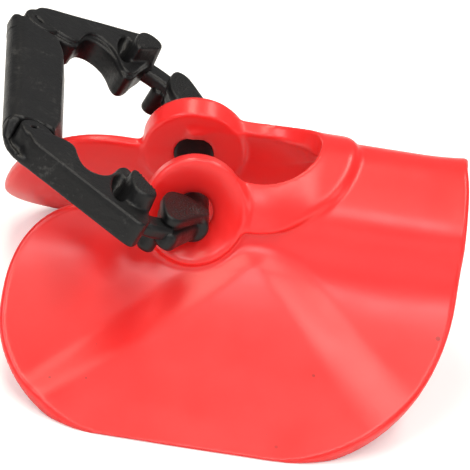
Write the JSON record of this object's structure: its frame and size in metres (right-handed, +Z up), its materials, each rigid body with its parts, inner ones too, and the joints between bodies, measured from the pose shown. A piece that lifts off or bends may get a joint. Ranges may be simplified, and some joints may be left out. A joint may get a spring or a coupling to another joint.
{
  "type": "poultry blinder",
  "caption": "Soft plastic saddle with two flared side lobes and nostril rings, held on a bird's beak by a hinged clip whose round tips sit in the rings.",
  "frame": {"origin": "middle of the axis through the two nostril holes", "axes": "+Z up, +Y along the nostril axis to the left lobe, +X along the bridge to the closed end of the saddle"},
  "size_m": [0.0573, 0.0598, 0.0308],
  "materials": {
    "saddle": "glossy",
    "clip": "satin"
  },
  "bodies": {
    "blinder": {"blinder": "saddle"},
    "bar": {"clip_bar": "clip", "bar_hinge_left": "clip", "bar_hinge_right": "clip"},
    "arm_left": {"clip_arm_left": "clip"},
    "arm_right": {"clip_arm_right": "clip"},
    "link_left": {"clip_link_left": "clip", "tip_hinge_left": "clip"},
    "link_right": {"clip_link_right": "clip", "tip_hinge_right": "clip"}
  },
  "joints": [
    {"name": "clip_swing", "type": "hinge", "parent": "blinder", "child": "bar", "pos_m": [0, 0, 0], "axis": [0, 1, 0], "range_deg": [-20, 100]},
    {"name": "arm_left_open", "type": "hinge", "parent": "bar", "child": "arm_left", "pos_m": [-0.02324, 0.01618, 0.00898], "axis": [0.3322, 0, 0.9432], "range_deg": [0, 90]},
    {"name": "arm_right_open", "type": "hinge", "parent": "bar", "child": "arm_right", "pos_m": [-0.0232, -0.01084, 0.00897], "axis": [-0.3322, 0, -0.9432], "range_deg": [0, 90]},
    {"name": "tip_left_turn", "type": "hinge", "parent": "arm_left", "child": "link_left", "pos_m": [-0.00493, 0.022, 0.00253], "axis": [0.3322, 0, 0.9432], "range_deg": [0, 54]},
    {"name": "tip_right_turn", "type": "hinge", "parent": "arm_right", "child": "link_right", "pos_m": [-0.00532, -0.01801, 0.00267], "axis": [-0.3322, 0, -0.9432], "range_deg": [0, 54]}
  ],
  "couplings": [
    {"joint": "tip_left_turn", "follows": "arm_left_open", "ratio": 0.6},
    {"joint": "tip_right_turn", "follows": "arm_right_open", "ratio": 0.6}
  ]
}
